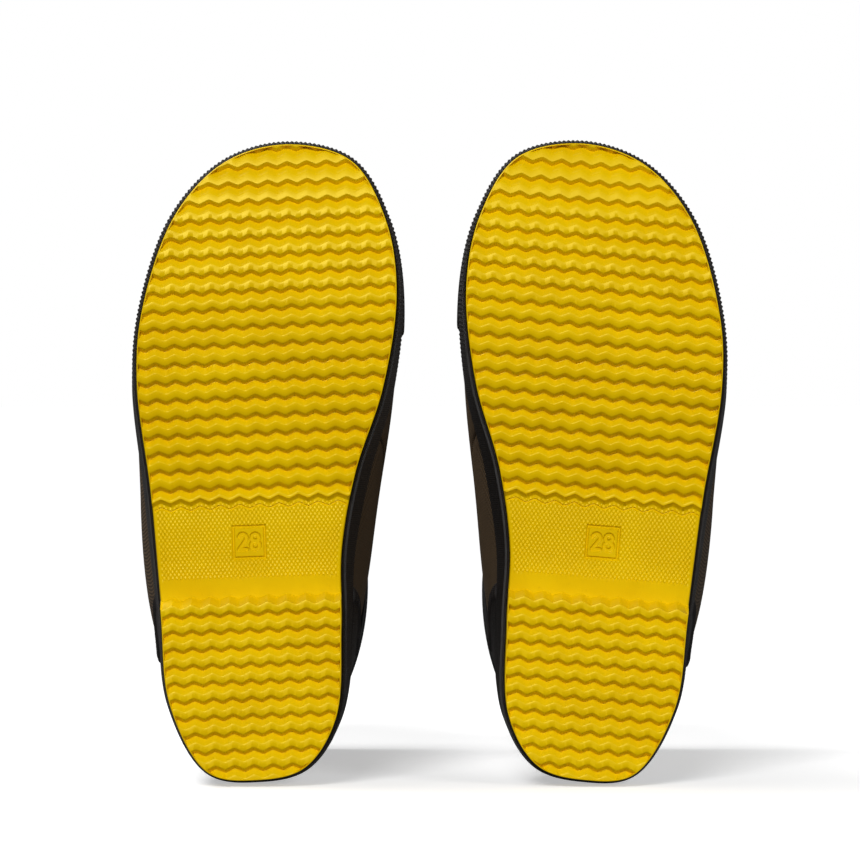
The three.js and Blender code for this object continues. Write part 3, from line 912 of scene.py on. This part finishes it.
def band_lines(place, ring):
    """The bead along the rim and the two pressed lines, in millimetres."""
    gap = (rim_ring - ring) * band_ring_rise
    bead = bead_height * np.exp(-((gap - bead_gap) / bead_spread) ** 2)
    lines = sum(np.exp(-((gap - at) / line_spread) ** 2) for at in line_gaps)
    return bead - line_depth * lines


band_rings = eased(band_start, rim_ring, 46, 0.03)
band_edge = 0.36
band = shell(all_round, band_rings, seat, seat + foxing_thickness, band_edge, band_lines, closed=True)
pair_of("top_band", band, trim_finish, "trim_rubber")

# ---------------------------------------------------------------- lining
# A sock of knitted textile, bonded to the inside of the rubber from the sole to the rim. It keeps the rubber
# off the leg, and shows where one looks into the shaft.

lining_thickness = 1.2


def knitted():
    """Charcoal knit: columns of small loops, softened with fluff."""
    material, shader, start = new_finish("lining_knit", {"Sheen Weight": 0.4, "Sheen Roughness": 0.5})
    lay = start.node("UVMap", {"uv_map": "lay"}).split()
    place = start.node("TexCoord", output=3)
    fluff = start.node("TexNoise", {}, {"Vector": place, "Scale": 1100.0, "Detail": 3.0})
    wale_width, loop_height = 1.6, 1.2
    wale = lay[0].wave(wale_width)
    loops = (lay[1] + wale * 0.35).wave(loop_height)
    knit = (loops * 0.5 + wale * 0.3 + 0.5).clamped(0.0, 1.1)
    joined(
        shader,
        Base_Color=(knit * 0.7 + fluff * 0.4).mixed(srgb(30, 30, 33), srgb(84, 84, 90)),
        Roughness=0.86 + fluff * 0.12,
        Normal=bumped(knit + fluff * 0.5, 0.22),
    )
    return material


lining_finish = knitted()
lining_outer = -(upper_thickness + seat)
lining_inner = lining_outer - lining_thickness
lining = shell(all_round, upper_rings, lining_inner, lining_outer, closed=True)
pair_of("lining", lining, lining_finish, "lining_textile")

# ---------------------------------------------------------------- footbed
# A loose cushioned insole that lies on the insole board: a foam slab with a brushed cloth face, its edge
# rolled and its middle dished.

board_thickness = 2.0
board_inset = -lining_inner + 2 * seat
footbed_low = seat + board_thickness + seat
footbed_thickness = 4.0
footbed_inset = board_inset + seat
# from the middle of the underside to the middle of the top: a share of the outline, and a height
footbed_profile = [
    (0.35, 0.0), (0.8, 0.0), (0.96, 0.0), (0.99, 0.35), (1.0, 1.3), (1.0, 2.6), (0.985, 3.5), (0.95, 3.95),
    (0.88, 4.0), (0.76, 3.75), (0.6, 3.45), (0.42, 3.3), (0.25, 3.25),
]


def footbed_rings():
    """Rings from the middle of the underside, round the rolled edge, to the middle of the dished top."""
    places = np.arange(144) / 144
    x, z = sole_edge(places, footbed_inset)
    z_middle = np.clip(z, 24.0, sole_length - 34.0)
    full = max(height for share, height in footbed_profile)
    rings = []
    for share, height in footbed_profile:
        px, pz = share * x, z_middle + share * (z - z_middle)
        rings.append(np.stack([px, feather(pz) + footbed_low + height / full * footbed_thickness, pz], 1))
    return rings


def brushed_cloth():
    """Dark grey brushed cloth with short crossed fibres over foam."""
    material, shader, start = new_finish("footbed_cloth", {"Sheen Weight": 0.5, "Sheen Roughness": 0.6})
    place = start.node("TexCoord", output=3)
    fibre = start.node("TexNoise", {}, {"Vector": place, "Scale": 700.0, "Detail": 4.0, "Roughness": 0.7})
    dimple = start.node("TexVoronoi", {}, {"Vector": place, "Scale": 260.0})
    joined(
        shader,
        Base_Color=(fibre * 0.7 + dimple * 0.3).mixed(srgb(46, 46, 50), srgb(104, 104, 110)),
        Roughness=0.85 + fibre * 0.12,
        Normal=bumped(fibre + dimple * 0.6, 0.25),
    )
    return material


footbed_finish = brushed_cloth()
footbed = (ring_solid(footbed_rings()), None)
for made in pair_of("footbed", footbed, footbed_finish, "footbed_foam", sharp_angle=60.0):
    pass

# ---------------------------------------------------------------- insole board, shank, wedge and filler
# The hidden inside of the sole keeps the shapes it has in the frame: a fibre board under the footbed, a steel
# strip in the waist, a foam wedge in the heel and a thin foam filler in the forefoot.


def fibre_board():
    """Brown pressed fibre board with flecks."""
    material, shader, start = new_finish("insole_fibre_board", {})
    place = start.node("TexCoord", output=3)
    fleck = start.node("TexNoise", {}, {"Vector": place, "Scale": 420.0, "Detail": 5.0, "Roughness": 0.75})
    joined(
        shader,
        Base_Color=fleck.clamped(0.35, 0.65).mixed(srgb(138, 116, 88), srgb(176, 152, 120)),
        Roughness=0.8 + fleck * 0.15,
        Normal=bumped(fleck, 0.08),
    )
    return material


def foam():
    """Pale closed-cell foam with small pores."""
    material, shader, start = new_finish("filler_cell_foam", {})
    place = start.node("TexCoord", output=3)
    cell = start.node("TexVoronoi", {}, {"Vector": place, "Scale": 900.0})
    joined(
        shader,
        Base_Color=cell.clamped(0.1, 0.6).mixed(srgb(186, 180, 166), srgb(222, 216, 204)),
        Roughness=0.9 - cell * 0.1,
        Normal=bumped(cell, 0.15),
    )
    return material


def brushed_steel():
    """Spring steel, brushed along its length, with a little stain."""
    material, shader, start = new_finish("shank_spring_steel", {})
    place = start.node("TexCoord", output=3)
    along = place.node("Mapping", {}, {"Vector": place, "Scale": (4000.0, 4000.0, 120.0)})
    brush = start.node("TexNoise", {}, {"Vector": along, "Scale": 1.0, "Detail": 2.0})
    stain = start.node("TexNoise", {}, {"Vector": place, "Scale": 130.0, "Detail": 3.0})
    joined(
        shader,
        Base_Color=stain.mixed(srgb(150, 152, 156), srgb(186, 188, 192)),
        Metallic=1.0 - stain.clamped(0.6, 0.8) * 0.2,
        Roughness=0.28 + brush * 0.2,
        Normal=bumped(brush, 0.01),
    )
    return material


inside_finishes = {
    "insole_board": fibre_board(), "heel_wedge": foam(), "forefoot_filler": foam(), "shank": brushed_steel(),
}
for name, finish in inside_finishes.items():
    for side in sides:
        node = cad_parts[f"{side}_{name}"]
        node.data.materials.clear()
        node.data.materials.append(finish)

# ---------------------------------------------------------------- floor and light
# A white floor that runs on out of sight. A soft light above the soles and three broad far lights, from the
# front, the top and the right, light the boots, with faint pale light all round.

floor_mesh = bpy.data.meshes.new("floor")
floor_half, floor_gap = 30.0, 0.0002
corners = [(x * floor_half, y * floor_half, 0) for x, y in ((-1, -1), (1, -1), (1, 1), (-1, 1))]
floor_mesh.from_pydata(corners, [], [(0, 1, 2, 3)])
floor = bpy.data.objects.new("floor", floor_mesh)
floor.location.z = cad_box[0].z - floor_gap
bpy.context.scene.collection.objects.link(floor)
# it glows a little, so that it is white to the eye without throwing its light back on to the boots
floor_finish, floor_shader, floor_start = new_finish("floor_white", {
    "Roughness": 0.9, "Specular IOR Level": 0.1,
    "Emission Color": (1.0, 1.0, 1.0, 1.0), "Emission Strength": 0.46,
})
floor_cloud = floor_start.node("TexNoise", {}, {"Scale": 3.0, "Detail": 2.0})
joined(floor_shader, Base_Color=floor_cloud.mixed((0.93, 0.93, 0.93, 1), (0.96, 0.96, 0.96, 1)))
floor_mesh.materials.append(floor_finish)
floor.visible_diffuse = False
floor.visible_glossy = False


def lamp(name, kind, energy, towards):
    """A light that shines in a direction."""
    light = bpy.data.lights.new(name, kind)
    light.energy = energy
    made = bpy.data.objects.new(name, light)
    bpy.context.scene.collection.objects.link(made)
    made.rotation_mode = "QUATERNION"
    made.rotation_quaternion = Vector(towards).to_track_quat("-Z", "Y")
    return made


def softbox(name, where, at, size, energy):
    """A square light, turned to face a point."""
    made = lamp(name, "AREA", energy, Vector(at) - Vector(where))
    made.data.size = size
    made.location = where


def far_light(name, towards, energy, spread):
    """A light too far away to fall off, as soft as the angle in degrees that it fills."""
    lamp(name, "SUN", energy, towards).data.angle = math.radians(spread)


softbox("overhead", where=(-0.32, 0.08, 0.58), at=(-0.03, -0.10, 0.15), size=0.3, energy=1.75)
far_light("front", towards=(0.18, 0.87, -0.46), energy=2.0, spread=18)
far_light("top", towards=(0.38, -0.15, -0.9), energy=0.5, spread=50)
far_light("right", towards=(-0.5, 0.78, -0.38), energy=0.75, spread=20)

# the air is white where it is seen straight, and lights the boots with only a little of that
seen_strength, lit_strength = 1.0, 0.1
world = bpy.data.worlds.new("studio")
bpy.context.scene.world = world
world.use_nodes = True
air = Signal(world.node_tree)
seen = air.node("LightPath", output=0)
backdrop = world.node_tree.nodes["Background"]
backdrop.inputs["Color"].default_value = (1.0, 1.0, 1.0, 1.0)
strength = seen * (seen_strength - lit_strength) + lit_strength
world.node_tree.links.new(strength.socket, backdrop.inputs["Strength"])
bpy.context.scene.view_settings.view_transform = "Standard"
